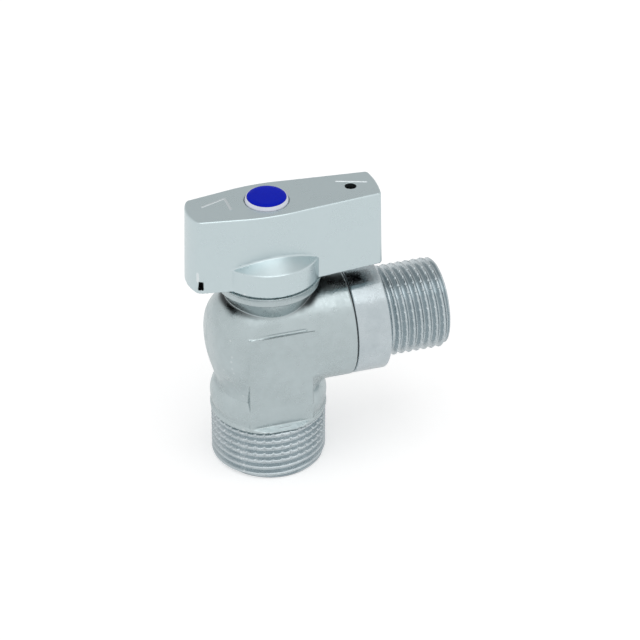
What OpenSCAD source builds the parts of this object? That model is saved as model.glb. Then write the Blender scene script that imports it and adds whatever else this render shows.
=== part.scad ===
// Angle ball valve with a quarter-turn bar handle, drawn in millimetres in the open position.
// The outlet's end face stands on z = 0, +Z is the stem's axis and +X runs out of the inlet.
// The threads are drawn as plain cylinders at their major diameters.

/* [Outlet end] */
// Major diameter of the outlet's G3/4 male thread
outlet_thread_d = 26.44; // [26:0.01:26.8]
// Length of the outlet's thread, up to the collar
outlet_thread_len = 13; // [12:0.1:13.8]
// Inside diameter of the outlet spigot
outlet_bore_d = 18; // [16:0.1:19]
// Diameter of the round collar above the outlet's thread
outlet_collar_d = 26.8; // [26.5:0.1:27.4]
// Height of the collar's straight part
outlet_collar_h = 4.4; // [3.8:0.1:4.8]

/* [Inlet end] */
// Major diameter of the inlet's G1/2 male thread
inlet_thread_d = 20.96; // [20.6:0.01:21.3]
// Distance from the stem's axis to the inlet's end face
inlet_reach = 40.5; // [38.5:0.1:42.5]
// Inside diameter of the inlet spigot
inlet_bore_d = 15; // [13.5:0.1:16]
// Diameter of the inlet connector's round collar
inlet_collar_d = 25.6; // [24.8:0.1:25.8]
// Length of the inlet connector's collar
inlet_collar_len = 8.6; // [7.4:0.1:9.4]
// Depth of the lead-in chamfer on both spigots
thread_lead = 0.45; // [0.3:0.05:0.6]

/* [Body] */
// Height of the inlet's axis above the outlet's end face
axis_height = 32.4; // [31.6:0.1:34]
// Diameter of the barrel that holds the ball
barrel_d = 25.8; // [25.2:0.1:26.6]
// Distance from the stem's axis to the barrel's closed end
closed_end = 14.05; // [13.6:0.05:15]
// Squareness of the barrel's closed end, where 2 is an ellipse
closed_end_power = 2.86; // [2.4:0.02:3.4]
// Distance from the stem's axis to the joint with the inlet connector
joint_x = 17.3; // [16.8:0.1:18.2]
// Diameter of the neck between the barrel and the outlet's collar
neck_d = 24; // [23:0.1:25]
// Width of the flat pad on the front and back of the body
pad_w = 14.8; // [13:0.1:15.6]
// Distance between the two pads' faces
pad_across = 22.4; // [21.8:0.1:23.4]
// Height of the pads' top edges above the inlet's axis
pad_top = 5.9; // [5.2:0.1:6.6]
// Diameter of the boss's flange under the handle
boss_d = 23.6; // [22.6:0.1:24]
// Diameter of the boss where it meets the barrel
boss_root_d = 17.4; // [16.8:0.1:18.4]
// Height of the boss's top above the inlet's axis
boss_top = 16.4; // [16:0.1:17.2]

/* [Ball and stem] */
// Wall of the barrel around the ball's chamber
barrel_wall = 3.05; // [2.8:0.05:3.4]
// Diameter of the ball's two ports, as a share of the ball's diameter
port_share = 0.61; // [0.54:0.01:0.62]
// Diameter of the stem where it turns in the boss
stem_d = 7.9; // [7.6:0.05:8.1]
// Across flats of the stem's square end
stem_square = 5.6; // [5.3:0.05:5.7]
// Diameter of the screw that holds the handle
screw_d = 4; // [3.6:0.1:4.2]

/* [Handle] */
// Length of the handle's inlet end, from the stem's axis
handle_front = 25.5; // [24:0.1:28]
// Length of the handle's other end, from the stem's axis
handle_back = 18.35; // [17.6:0.05:20]
// Width of the handle across the stem
handle_w = 14.4; // [13.8:0.1:15.2]
// Width of the handle's two ends
handle_end_w = 10; // [9:0.1:11]
// Height of the handle
handle_h = 18.3; // [17.6:0.1:20]
// Wall thickness of the hollow handle
handle_wall = 1.9; // [1.5:0.05:2.1]
// Sideways growth of the handle from its top to its bottom edge
handle_draft = 0.4; // [0.2:0.05:0.6]
// Radius of the rounding along the handle's top edge
handle_edge = 0.7; // [0.4:0.05:1]
// Diameter of the round hub at the handle's foot
hub_d = 24; // [23.4:0.1:25]
// Height of the hub's upright skirt
hub_skirt = 5.65; // [5.2:0.05:6.2]
// Rise of the hub's sloping ledge for each millimetre inwards
ledge_slope = 0.45; // [0.3:0.01:0.6]
// Distance from the stem's axis to the seal wire's hole
seal_hole_x = 19.4; // [17.5:0.1:20.4]
// Diameter of the seal wire's hole
seal_hole_d = 2.5; // [1.8:0.1:2.8]
// Diameter of the blue index disc
disc_d = 8.8; // [8:0.1:9.2]

/* [Hidden] */
$fn = 72;
// The ball's chamber, the ball and the seats, all from the barrel's inside
chamber_play = 0.35;
chamber_step = 0.85;
spigot_play = 0.03;
cavity_r = barrel_d / 2 - barrel_wall;
ball_r = cavity_r - chamber_play;
ball_d = 2 * ball_r;
spigot_r = cavity_r + chamber_step;
screwed_r = spigot_r - spigot_play;
port_r = ball_r * port_share;
port_d = 2 * port_r;
seat_play = 0.1;
ball_gap = 0.02;
seat_r = cavity_r - seat_play;
seat_back = ball_r + 0.4;
seat_lip = ball_r * 0.62;
rear_pocket_r = ball_r * 0.905;
rear_seat_r = rear_pocket_r - spigot_play;
rear_play = 0.25;
rear_face = -ball_r - rear_play;
rear_lip = -ball_r * 0.5;
rear_seat_lip = -ball_r * 0.56;
seat_ring_d = 1.48;
seat_ring_room = 1.5;
rear_ring_d = 1.28;
rear_ring_room = 1.3;
rear_bore_r = ball_r * 0.485;
way_play = 0.4;
mouth_depth = 14;
mouth_cone = 3;
// The joint with the inlet connector
edge_break = 0.3;
nose_break = 0.6;
gasket_t = 0.45;
gasket_r = barrel_d / 2 - gasket_t;
collar_x0 = joint_x + gasket_t;
collar_x1 = collar_x0 + inlet_collar_len;
collar_bevel = 1;
relief = 0.9;
thread_depth = 1.1;
shoulder_h = 1.8;
flange_h = 1.2;
// The stem, its flange and its rings
stem_r = stem_d / 2;
turn_play = 0.05;
bore_r = stem_r + turn_play;
flange_lip = 1.56;
flange_r = stem_r + flange_lip;
flange_t = 1.6;
thrust_t = 0.8;
flange_z0 = seat_back;
flange_z1 = flange_z0 + flange_t;
pocket_top = flange_z1 + thrust_t;
pocket_r = flange_r + edge_break;
ring_w = 1.4;
ring_span = boss_top - pocket_top;
lower_ring_z = pocket_top + ring_span * 0.29;
upper_ring_z = pocket_top + ring_span * 0.75;
ring_depth = 1.05;
ring_floor = stem_r - ring_depth;
ring_squeeze = 0.02;
slot_w = 3.6;
slot_floor = ball_r * 0.73;
tongue_w = 8;
// The handle's inside, its screw and its cap
handle_play = 0.45;
handle_z = axis_height + boss_top + handle_play;
socket_h = 7.6;
socket_gap = 0.2;
web_top = 9.8;
washer_t = 0.8;
head_r = 3.6;
head_h = 2.6;
head_bevel = 0.6;
key_r = 1.75;
screw_tip = 1.2;
plug_r = 4;
plug_play = 0.05;
plug_wall = 1.1;
plug_length = 3.7;
cap_rim = 0.45;
cap_r = disc_d / 2 + cap_rim;
cap_depth = 0.95;
cap_rise = 0.75;
cap_seat = 0.1;
cap_floor = 0.6;
disc_rise = 1.15;
column_r = 6;
hub_wall = 1.8;
ring_space_r = hub_d / 2 - hub_wall;
ring_space_h = 4.2;
lug_h = 2.6;
lug_t = 1.7;
lug_half = 20;
stop_play = 0.5;
rib_t = 1.4;
rib_foot = 3.2;
bow_x = 6;
middle_bow = 45;
front_bow = 22;
back_bow = 10.2;
slot_x = -16.7;
slot_z = 1.95;

// Lays a shape that was drawn along +Z along +X at the inlet's height
module along_inlet() translate([0, 0, axis_height]) rotate([0, 90, 0]) children();

// A ring between two radii, from x0 to x1 on the inlet's axis
module inlet_ring(r_in, r_out, x0, x1)
    along_inlet() translate([0, 0, x0]) difference() {
        cylinder(r = r_out, h = x1 - x0);
        translate([0, 0, -1]) cylinder(r = r_in, h = x1 - x0 + 2);
    }

// A rubber ring of round section about the z axis
module rubber_ring(r_mid, r_section)
    rotate_extrude() translate([r_mid, 0]) circle(r = r_section, $fn = 32);

// A wedge from angle a0 to a1 that reaches past radius r
module wedge(a0, a1, r, z0, z1)
    translate([0, 0, z0]) rotate_extrude(angle = a1 - a0, start = a0) square([r, z1 - z0]);

// Outline of the barrel, from the closed end's centre to the joint, as radius and distance along the inlet's axis
function barrel_outline(r, steps = 18) = concat(
    [for (i = [0 : steps]) let (a = 90 * i / steps)
        [r * pow(sin(a), 2 / closed_end_power), -closed_end * pow(cos(a), 2 / closed_end_power)]],
    [[r, joint_x - edge_break], [r - edge_break, joint_x], [0, joint_x]]);

module barrel()
    along_inlet() rotate_extrude() polygon(barrel_outline(barrel_d / 2));

module outlet_spigot() rotate_extrude() polygon([
    [0, 0], [outlet_thread_d / 2 - thread_lead, 0], [outlet_thread_d / 2, thread_lead],
    [outlet_thread_d / 2, outlet_thread_len], [outlet_collar_d / 2, outlet_thread_len],
    [outlet_collar_d / 2, outlet_thread_len + outlet_collar_h],
    [neck_d / 2, outlet_thread_len + outlet_collar_h + shoulder_h],
    [neck_d / 2, axis_height], [0, axis_height]]);

module boss() translate([0, 0, axis_height]) rotate_extrude() polygon([
    [0, 0], [boss_root_d / 2, 0], [boss_root_d / 2, boss_top * 0.56],
    [boss_d / 2 - edge_break, boss_top - flange_h - edge_break], [boss_d / 2, boss_top - flange_h],
    [boss_d / 2, boss_top - edge_break], [boss_d / 2 - edge_break, boss_top], [0, boss_top]]);

// The upright block whose two faces are the pads, trimmed to the collar's diameter
module pad_block() intersection() {
    translate([-pad_w / 2, -pad_across / 2, outlet_thread_len])
        cube([pad_w, pad_across, axis_height + pad_top - outlet_thread_len]);
    cylinder(d = outlet_collar_d, h = 2 * axis_height);
}

// What is cut away in front of each pad's face
module pad_clearance() for (side = [-1, 1])
    translate([-pad_w / 2, side > 0 ? pad_across / 2 : -pad_across / 2 - 6, outlet_thread_len])
        cube([pad_w, 6, axis_height + pad_top - outlet_thread_len]);

// Two-step bore from the joint for the inlet connector, the ball and the rear seat
module ball_chamber() along_inlet() rotate_extrude() polygon([
    [0, rear_face], [rear_pocket_r, rear_face], [rear_pocket_r, rear_lip], [cavity_r, rear_lip],
    [cavity_r, seat_back], [spigot_r, seat_back], [spigot_r, joint_x + 1], [0, joint_x + 1]]);

module outlet_way() {
    cylinder_span(outlet_bore_d / 2, -1, mouth_depth);
    translate([0, 0, mouth_depth]) cylinder(d1 = outlet_bore_d, d2 = port_d + 2 * way_play, h = mouth_cone);
    cylinder_span(port_r + way_play, mouth_depth + mouth_cone - 0.1, axis_height);
}

module stem_way() translate([0, 0, axis_height]) {
    cylinder(r = pocket_r, h = pocket_top);
    cylinder(r = bore_r, h = boss_top + 1);
    translate([0, 0, boss_top - edge_break]) cylinder(r1 = bore_r, r2 = bore_r + 2 * edge_break, h = 2 * edge_break);
}

// The lug on the boss that stops the handle at both ends of its quarter turn
module stop_lug() translate([0, 0, axis_height + boss_top - 0.5]) intersection() {
    difference() {
        cylinder(r = ring_space_r - edge_break, h = lug_h + 0.5);
        translate([0, 0, -1]) cylinder(r = ring_space_r - edge_break - lug_t, h = lug_h + 2.5);
    }
    wedge(90 - lug_half, 90 + lug_half, hub_d, -1, lug_h + 1);
}

module body() color("silver") {
    difference() {
        union() {
            barrel();
            outlet_spigot();
            boss();
            pad_block();
        }
        pad_clearance();
        ball_chamber();
        outlet_way();
        stem_way();
    }
    stop_lug();
}

module inlet_connector() color("silver") along_inlet() difference() {
    rotate_extrude() polygon([
        [0, seat_back], [screwed_r - nose_break, seat_back], [screwed_r, seat_back + nose_break],
        [screwed_r, collar_x0], [inlet_collar_d / 2 - edge_break, collar_x0],
        [inlet_collar_d / 2, collar_x0 + edge_break], [inlet_collar_d / 2, collar_x1 - collar_bevel],
        [inlet_thread_d / 2 + collar_bevel / 2, collar_x1], [inlet_thread_d / 2 - thread_depth, collar_x1],
        [inlet_thread_d / 2 - thread_depth, collar_x1 + relief],
        [inlet_thread_d / 2, collar_x1 + relief], [inlet_thread_d / 2, inlet_reach - thread_lead],
        [inlet_thread_d / 2 - thread_lead, inlet_reach], [0, inlet_reach]]);
    cylinder_span(port_r + way_play / 2, 0, inlet_reach + 1);
    translate([0, 0, joint_x]) cylinder(r1 = port_r + way_play / 2, r2 = inlet_bore_d / 2, h = mouth_cone);
    cylinder_span(inlet_bore_d / 2, joint_x + mouth_cone, inlet_reach + 1);
}

module connector_gasket() color("dimgray") inlet_ring(screwed_r, gasket_r, joint_x, collar_x0);

module ball() color("gainsboro") translate([0, 0, axis_height]) difference() {
    sphere(r = ball_r);
    sphere(r = port_r);
    translate([0, 0, -ball_d]) cylinder(r = port_r, h = ball_d);
    rotate([0, 90, 0]) cylinder(r = port_r, h = ball_d);
    translate([-slot_w / 2, -ball_d, slot_floor]) cube([slot_w, 2 * ball_d, ball_d]);
}

module ball_room() translate([0, 0, axis_height]) sphere(r = ball_r + ball_gap);

module inlet_seat() color("white") difference() {
    inlet_ring(port_r + seat_play, seat_r, seat_lip, seat_back);
    inlet_ring(seat_r - seat_ring_room, seat_r + 1, seat_back - seat_ring_room, seat_back + 1);
    ball_room();
}

module inlet_seat_ring() color("dimgray") along_inlet() translate([0, 0, seat_back - seat_ring_room / 2])
    rubber_ring(seat_r - seat_ring_room / 2, seat_ring_d / 2);

module rear_seat() color("white") difference() {
    inlet_ring(rear_bore_r, rear_seat_r, rear_face, rear_seat_lip);
    inlet_ring(rear_seat_r - rear_ring_room, rear_seat_r + 1, rear_face - 1, rear_face + rear_ring_room);
    ball_room();
}

module rear_seat_ring() color("dimgray") along_inlet() translate([0, 0, rear_face + rear_ring_room / 2])
    rubber_ring(rear_seat_r - rear_ring_room / 2, rear_ring_d / 2);

module stem() color("gold") translate([0, 0, axis_height]) difference() {
    union() {
        intersection() {
            translate([-slot_w / 2 + turn_play, -tongue_w / 2, slot_floor + 2 * turn_play])
                cube([slot_w - 2 * turn_play, tongue_w, flange_z0 - slot_floor]);
            cylinder(r = flange_r * 0.82, h = 2 * ball_r);
        }
        cylinder_span(flange_r, flange_z0, flange_z1);
        cylinder_span(stem_r, flange_z1 - 0.1, boss_top + 0.6);
        intersection() {
            cylinder_span(stem_r, boss_top, boss_top + handle_play + socket_h - socket_gap);
            translate([-stem_square / 2, -stem_square / 2, 0]) cube([stem_square, stem_square, 2 * axis_height]);
        }
    }
    for (z = [lower_ring_z, upper_ring_z]) translate([0, 0, z - ring_w / 2]) difference() {
        cylinder(r = 1.2 * stem_r, h = ring_w);
        translate([0, 0, -1]) cylinder(r = ring_floor, h = ring_w + 2);
    }
    cylinder_span(screw_d / 2, boss_top + handle_play + screw_tip - 0.5, 2 * axis_height);
}

module cylinder_span(r, z0, z1) translate([0, 0, z0]) cylinder(r = r, h = z1 - z0);

module stem_thrust_washer() color("white") translate([0, 0, axis_height]) difference() {
    cylinder_span(flange_r + turn_play, flange_z1, pocket_top);
    cylinder_span(bore_r, flange_z1 - 1, pocket_top + 1);
}

module stem_ring(z) color("dimgray") translate([0, 0, axis_height + z])
    rubber_ring((ring_floor + stem_r + ring_squeeze) / 2, (stem_r + ring_squeeze - ring_floor) / 2);

module lower_stem_ring() stem_ring(lower_ring_z);

module upper_stem_ring() stem_ring(upper_ring_z);

function arc_points(cx, cy, r, a0, a1, n) =
    [for (i = [0 : n]) let (a = a0 + (a1 - a0) * i / n) [cx + r * cos(a), cy + r * sin(a)]];

// Plan of the bar: bowed middle, straight tapering sides and two bowed ends, grown by g on every side
function bar_points(g) =
    let (half_end = handle_end_w / 2 + g,
         a_mid = asin(bow_x / middle_bow),
         a_front = asin(half_end / front_bow),
         a_back = asin(half_end / back_bow))
    concat(
        arc_points(handle_front + g - front_bow, 0, front_bow, -a_front, a_front, 10),
        arc_points(0, handle_w / 2 + g - middle_bow, middle_bow, 90 - a_mid, 90 + a_mid, 8),
        arc_points(-handle_back - g + back_bow, 0, back_bow, 180 - a_back, 180 + a_back, 12),
        arc_points(0, middle_bow - handle_w / 2 - g, middle_bow, 270 - a_mid, 270 + a_mid, 8));

module bar_slice(z, g) translate([0, 0, z]) linear_extrude(0.01) polygon(bar_points(g));

// The bar's outside: drafted sides and a rounded top edge
module bar_outer() hull() {
    bar_slice(0, handle_draft);
    bar_slice(handle_h - handle_edge, 0);
    bar_slice(handle_h - handle_edge * 0.62, -handle_edge * 0.08);
    bar_slice(handle_h - handle_edge * 0.29, -handle_edge * 0.29);
    bar_slice(handle_h - handle_edge * 0.08, -handle_edge * 0.62);
    bar_slice(handle_h - 0.01, -handle_edge);
}

// The bar's inside, open at the bottom
module bar_hollow() hull() {
    bar_slice(-1, handle_draft - handle_wall);
    bar_slice(handle_h - handle_wall, -handle_wall);
}

// The round hub: an upright skirt under a ledge that slopes up to the bar
module hub_outer() rotate_extrude() polygon([
    [0, 0], [hub_d / 2 - edge_break, 0], [hub_d / 2, edge_break], [hub_d / 2, hub_skirt - edge_break / 2],
    [hub_d / 2 - edge_break / 2, hub_skirt], [handle_end_w / 2, hub_skirt + ledge_slope * (hub_d - handle_end_w) / 2],
    [0, hub_skirt + ledge_slope * (hub_d - handle_end_w) / 2]]);

// Ribs in the hub that meet the body's lug at the ends of the handle's travel
module stop_ribs() intersection() {
    cylinder_span(ring_space_r + 0.5, handle_play * 2, ring_space_h + 0.6);
    union() {
        wedge(65 - lug_half, 90 - lug_half - stop_play, hub_d, 0, ring_space_h + 1);
        wedge(180 + lug_half + stop_play, 205 + lug_half, hub_d, 0, ring_space_h + 1);
    }
}

// Thin walls across the hollow bar, one on each side of the hub
module cross_ribs() intersection() {
    translate([0, 0, rib_foot]) hull() {
        bar_slice(0, handle_draft - handle_wall + edge_break);
        bar_slice(handle_h - handle_wall - rib_foot + 0.2, -handle_wall + edge_break);
    }
    for (x = [-handle_back * 0.69, handle_front * 0.55]) translate([x - rib_t / 2, -handle_w, 0])
        cube([rib_t, 2 * handle_w, handle_h - handle_wall / 2]);
}

module screw_and_cap_way() {
    translate([-stem_square / 2 - turn_play, -stem_square / 2 - turn_play, -1])
        cube([stem_square + 2 * turn_play, stem_square + 2 * turn_play, socket_h + 1]);
    cylinder_span(screw_d / 2 + 2 * turn_play, 0, handle_h);
    cylinder_span(plug_r, web_top, handle_h);
    cylinder_span(cap_r + cap_seat, handle_h - cap_depth, handle_h + 1);
}

// A small upright slot in the front face, close to the bar's short end
module front_slot() translate([slot_x, -handle_end_w * 0.32, slot_z]) {
    for (dz = [-0.7, 0.75]) translate([0, 0, dz]) rotate([90, 0, 0])
        cylinder(r = dz < 0 ? 0.42 : 0.3, h = handle_w);
    translate([-0.3, -handle_w, -0.7]) cube([0.6, handle_w, 1.45]);
}

module handle() color("lightgray") translate([0, 0, handle_z]) difference() {
    union() {
        difference() {
            union() {
                bar_outer();
                hub_outer();
            }
            bar_hollow();
            cylinder_span(ring_space_r, -1, ring_space_h);
        }
        cylinder_span(column_r, edge_break, handle_h - handle_wall / 2);
        stop_ribs();
        cross_ribs();
    }
    screw_and_cap_way();
    translate([seal_hole_x, 0, handle_h / 2]) cylinder(d = seal_hole_d, h = handle_h);
    front_slot();
}

module handle_screw() color("gainsboro") translate([0, 0, handle_z]) difference() {
    union() {
        cylinder_span(screw_d / 2, screw_tip, web_top + washer_t + 0.1);
        cylinder_span(head_r, web_top + washer_t, web_top + washer_t + head_h - head_bevel);
        translate([0, 0, web_top + washer_t + head_h - head_bevel])
            cylinder(r1 = head_r, r2 = head_r - head_bevel, h = head_bevel);
    }
    translate([0, 0, web_top + washer_t + head_h * 0.4]) cylinder(r = key_r, h = head_h, $fn = 6);
}

// A split ring under the screw's head
module spring_washer() color("gray") translate([0, 0, handle_z]) difference() {
    cylinder_span(head_r, web_top, web_top + washer_t);
    cylinder_span(screw_d / 2 + turn_play, 0, handle_h);
    translate([0, -edge_break, 0]) cube([2 * head_r, 2 * edge_break, handle_h]);
}

// The pale cap that closes the screw's way and carries the index disc
module index_cap() color("white") translate([0, 0, handle_z]) difference() {
    rotate_extrude() polygon([
        [0, handle_h - plug_length], [plug_r - plug_play, handle_h - plug_length],
        [plug_r - plug_play, handle_h - cap_depth], [cap_r, handle_h - cap_depth], [cap_r, handle_h + cap_seat],
        [disc_d / 2 + cap_rim / 3, handle_h + cap_rise], [0, handle_h + cap_rise]]);
    cylinder_span(plug_r - plug_wall, 0, handle_h - cap_depth - cap_floor);
    cylinder_span(disc_d / 2, handle_h + cap_seat, handle_h + disc_d);
}

module index_disc() color("blue") translate([0, 0, handle_z + handle_h]) rotate_extrude() polygon([
    [0, cap_seat], [disc_d / 2, cap_seat], [disc_d / 2, disc_rise * 0.7], [disc_d * 0.466, disc_rise * 0.91],
    [disc_d * 0.364, disc_rise * 0.98], [0, disc_rise]]);

body();
inlet_connector();
connector_gasket();
ball();
inlet_seat();
inlet_seat_ring();
rear_seat();
rear_seat_ring();
stem();
stem_thrust_washer();
lower_stem_ring();
upper_stem_ring();
handle();
handle_screw();
spring_washer();
index_cap();
index_disc();
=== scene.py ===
"""Angle ball valve with a quarter-turn bar handle: the looks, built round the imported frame.

Lengths are metres in the part's own frame. The outlet's end face stands on z = 0, +Z is the stem's
axis and +X runs out of the inlet. Sizes in the classes are written in millimetres times MM.
"""

import sys

import logging
import math
from dataclasses import dataclass
from enum import Enum
from typing import Callable

import bpy
import numpy as np
from mathutils import Matrix, Vector


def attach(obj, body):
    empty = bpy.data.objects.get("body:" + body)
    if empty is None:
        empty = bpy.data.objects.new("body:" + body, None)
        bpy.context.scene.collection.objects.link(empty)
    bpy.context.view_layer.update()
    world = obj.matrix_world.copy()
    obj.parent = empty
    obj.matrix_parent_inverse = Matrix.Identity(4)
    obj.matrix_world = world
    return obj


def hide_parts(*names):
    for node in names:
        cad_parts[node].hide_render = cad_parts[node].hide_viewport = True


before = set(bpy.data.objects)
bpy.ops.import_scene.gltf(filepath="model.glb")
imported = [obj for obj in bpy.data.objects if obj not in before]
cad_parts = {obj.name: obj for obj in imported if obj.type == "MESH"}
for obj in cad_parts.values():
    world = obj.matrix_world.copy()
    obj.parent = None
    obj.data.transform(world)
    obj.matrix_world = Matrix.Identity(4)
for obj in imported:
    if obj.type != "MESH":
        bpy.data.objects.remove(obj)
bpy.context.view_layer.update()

MM = 0.001
TURN = 2 * math.pi
LOG = logging.getLogger("angle_valve")

Array = np.ndarray
Field = Callable[[Array, Array, Array], Array]
Colour = tuple[float, float, float]


class BodyName(Enum):
    """The CAD bodies that a piece can ride on."""

    VALVE = "valve_body"
    HANDLE = "handle_set"


class Axis(Enum):
    """The axis that a turned piece is turned about."""

    STEM = "stem"
    INLET = "inlet"


# Shapes as signed distance fields: negative inside, in metres


def rounded_union(first: Array, second: Array, radius: float) -> Array:
    """Joins two solids with a fillet in the hollow between them.

    Formula: the larger of the radius and the nearer distance, less the length of what each
    distance lacks of the radius.

    Args:
        first: Distances to the first solid.
        second: Distances to the second solid.
        radius: Radius of the fillet.

    Returns:
        Distances to the joined solid.
    """
    lack = np.hypot(np.maximum(radius - first, 0), np.maximum(radius - second, 0))
    return np.maximum(radius, np.minimum(first, second)) - lack


def rounded_common(first: Array, second: Array, radius: float) -> Array:
    """Keeps what two solids share, with a rounded edge where they meet.

    Formula: the rounded union of the two solids' outsides, turned inside out.

    Args:
        first: Distances to the first solid.
        second: Distances to the second solid.
        radius: Radius of the edge.

    Returns:
        Distances to the shared solid.
    """
    return -rounded_union(-first, -second, radius)


def slab(value: Array, low: float, high: float) -> Array:
    """Distance to the space between two parallel planes at low and high along one axis."""
    return np.abs(value - (low + high) / 2) - (high - low) / 2


def rod(radial: Array, along: Array, radius: float, low: float, high: float) -> Array:
    """Distance to a cylinder: the larger of the distances past its wall and past its ends."""
    return np.maximum(radial - radius, slab(along, low, high))


def smooth_step(value: Array, low: float, high: float) -> Array:
    """Rises from 0 at low to 1 at high along the cubic three t squared less two t cubed."""
    t = np.clip((value - low) / (high - low), 0, 1)
    return t * t * (3 - 2 * t)


# Meshes


def new_object(name: str, points: Array, faces: Array, normals: Array | None = None) -> bpy.types.Object:
    """Puts points and faces into a new smooth-shaded mesh object at the origin.

    Args:
        name: Name of the piece.
        points: One row of x, y and z for each vertex.
        faces: One row of vertex numbers for each quad or triangle.
        normals: Outward unit vectors at the vertices, where the shape gives exact ones.

    Returns:
        The object, linked to the scene.
    """
    mesh = bpy.data.meshes.new(name)
    mesh.from_pydata(points.tolist(), [], faces.tolist())
    mesh.polygons.foreach_set("use_smooth", np.ones(len(mesh.polygons), bool))
    mesh.update()
    if normals is not None:
        mesh.normals_split_custom_set_from_vertices(normals.tolist())
    piece = bpy.data.objects.new(name, mesh)
    bpy.context.scene.collection.objects.link(piece)
    return piece


def axis_points(low: float, high: float, cell: float,
                fine: tuple[float, float, float] | None = None) -> Array:
    """Grid planes from low to high, a cell apart, and closer inside a fine stretch.

    Args:
        low: First plane.
        high: Last plane.
        cell: Distance between planes.
        fine: Start, end and cell of the stretch that needs more planes.

    Returns:
        The planes' places in rising order.
    """
    spans = [(low, high, cell)]
    if fine is not None:
        spans = [(low, fine[0], cell), fine, (fine[1], high, cell)]
    parts = [np.linspace(a, b, max(2, round((b - a) / step) + 1))[:-1] for a, b, step in spans]
    return np.concatenate([*parts, [high]])


@dataclass(frozen=True)
class FieldMesher:
    """Meshes a solid written as a distance field: one vertex in each cell that its skin crosses."""

    settle_steps: int = 3
    probe: float = 0.004 * MM

    def gradient(self, solid: Field, points: Array) -> Array:
        """Slope of the field at each point, from differences over twice the probe's length."""
        slope = np.empty_like(points)
        for axis in range(3):
            step = np.zeros(3)
            step[axis] = self.probe
            ahead, behind = (points + step).T, (points - step).T
            slope[:, axis] = (solid(*ahead) - solid(*behind)) / (2 * self.probe)
        return slope

    def settle(self, solid: Field, points: Array, edges: Array, reach: float) -> Array:
        """Evens the vertices out and slides them onto the skin.

        Formula: each vertex moves half way to the mean of its neighbours, then against the field's
        slope by the field's value over the slope's square, at most by the reach.

        Args:
            solid: The field.
            points: The vertices.
            edges: Pairs of neighbouring vertices.
            reach: Longest slide.

        Returns:
            The settled vertices.
        """
        count = np.bincount(edges.ravel(), minlength=len(points))[:, None]
        for step in range(self.settle_steps):
            if step < self.settle_steps - 1:
                sums = np.stack([
                    np.bincount(edges[:, 0], points[edges[:, 1], axis], len(points))
                    + np.bincount(edges[:, 1], points[edges[:, 0], axis], len(points))
                    for axis in range(3)
                ], axis=1)
                points = (points + sums / np.maximum(count, 1)) / 2
            slope = self.gradient(solid, points)
            square = np.maximum((slope ** 2).sum(axis=1), 0.04)[:, None]
            slide = slope * (solid(*points.T)[:, None] / square)
            length = np.linalg.norm(slide, axis=1, keepdims=True)
            points = points - slide * np.minimum(1, reach / np.maximum(length, 1e-12))
        return points

    def build(self, name: str, solid: Field, planes: tuple[Array, Array, Array]) -> bpy.types.Object:
        """Meshes the solid on a box grid.

        Formula: a cell whose corners lie on both sides of the skin gets a vertex at the mean of
        the places where its edges cross the skin, and each crossed grid edge gets a quad of the
        four cells round it.

        Args:
            name: Name of the piece.
            solid: The field.
            planes: The grid's planes along x, y and z.

        Returns:
            The closed piece.
        """
        px, py, pz = planes
        values = solid(px[:, None, None], py[None, :, None], pz[None, None, :])
        values = np.broadcast_to(values, (len(px), len(py), len(pz)))
        inside = values < 0
        corners = [(i, j, k) for i in (0, 1) for j in (0, 1) for k in (0, 1)]
        cells = tuple(n - 1 for n in inside.shape)
        total = np.zeros(cells, np.int8)
        for i, j, k in corners:
            total += inside[i:i + cells[0], j:j + cells[1], k:k + cells[2]]
        crossed = (total > 0) & (total < len(corners))
        number = np.full(cells, -1)
        number[crossed] = np.arange(crossed.sum())
        places = np.stack(np.nonzero(crossed), axis=1)
        points = self.cell_vertices(values, places, planes)
        faces = np.concatenate([self.axis_faces(inside, number, axis) for axis in range(3)])
        edges = np.concatenate([faces[:, [side, (side + 1) % 4]] for side in range(4)])
        reach = 0.5 * float(np.diff(px).max())
        points = self.settle(solid, points, edges, reach)
        slope = self.gradient(solid, points)
        normals = slope / np.maximum(np.linalg.norm(slope, axis=1, keepdims=True), 1e-9)
        return new_object(name, points, faces, normals)

    @staticmethod
    def cell_vertices(values: Array, places: Array, planes: tuple[Array, Array, Array]) -> Array:
        """Mean of the points where a cell's twelve edges cross the skin, with straight-line crossings.

        Args:
            values: The field at the grid's nodes.
            places: Row of i, j and k for each crossed cell.
            planes: The grid's planes along x, y and z.

        Returns:
            One vertex for each crossed cell.
        """
        total = np.zeros((len(places), 3))
        count = np.zeros(len(places))
        for axis in range(3):
            for side in range(4):
                start = np.zeros(3, int)
                start[(axis + 1) % 3], start[(axis + 2) % 3] = side % 2, side // 2
                end = start.copy()
                end[axis] = 1
                first, last = places + start, places + end
                a, b = values[tuple(first.T)], values[tuple(last.T)]
                cross = (a < 0) != (b < 0)
                share = np.where(cross, a / np.where(cross, a - b, 1), 0)
                for k in range(3):
                    from_place, to_place = planes[k][first[:, k]], planes[k][last[:, k]]
                    total[:, k] += np.where(cross, from_place + share * (to_place - from_place), 0)
                count += cross
        return total / count[:, None]

    @staticmethod
    def axis_faces(inside: Array, number: Array, axis: int) -> Array:
        """Quads round the grid edges along one axis that cross the skin, turned to face outwards."""
        along = np.moveaxis(inside, axis, 0)
        if axis == 1:
            along = np.swapaxes(along, 1, 2)
        cell = np.moveaxis(number, axis, 0)
        if axis == 1:
            cell = np.swapaxes(cell, 1, 2)
        here, there = along[:-1, 1:-1, 1:-1], along[1:, 1:-1, 1:-1]
        i, j, k = np.nonzero(here != there)
        ring = np.stack([cell[i, j, k], cell[i, j + 1, k], cell[i, j + 1, k + 1], cell[i, j, k + 1]], axis=1)
        outward = here[i, j, k]
        return np.where(outward[:, None], ring, ring[:, ::-1])


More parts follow.
